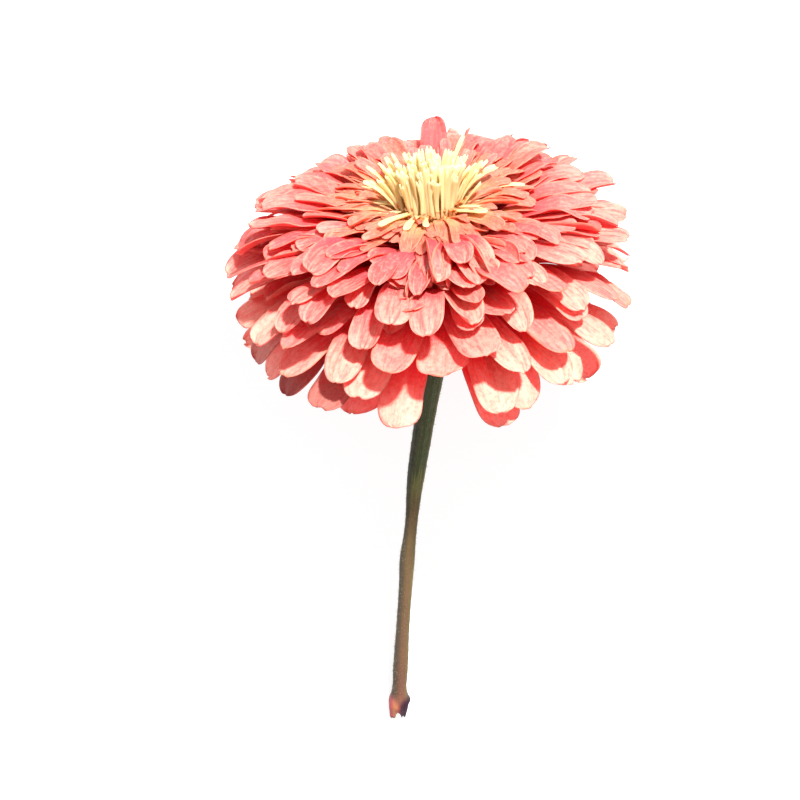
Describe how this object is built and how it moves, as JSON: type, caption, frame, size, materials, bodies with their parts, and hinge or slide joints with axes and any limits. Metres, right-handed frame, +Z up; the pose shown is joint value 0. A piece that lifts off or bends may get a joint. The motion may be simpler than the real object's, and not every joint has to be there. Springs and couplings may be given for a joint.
{
  "type": "cut zinnia flower",
  "caption": "Cut double zinnia lying on a table: layered salmon ray florets round a cream tuft, a green involucre and a bare stem with a torn end.",
  "frame": {"origin": "the middle of the flower's footprint, on the table it lies on", "axes": "+Z up, +Y from the stem's torn end towards the bloom, +X across the bloom"},
  "size_m": [0.1018, 0.1663, 0.0942],
  "materials": {
    "ray_florets": "soft matt petal, salmon with paler lit ends and a red-orange depth",
    "centre_florets": "soft matt, cream to pale yellow",
    "involucre": "matt green scales with dark margins",
    "stem": "matt, finely ribbed and downy, green turning olive brown"
  },
  "bodies": {
    "root": {"ray_florets": "ray_florets", "centre_florets": "centre_florets", "involucre": "involucre", "stem": "stem"}
  },
  "joints": []
}
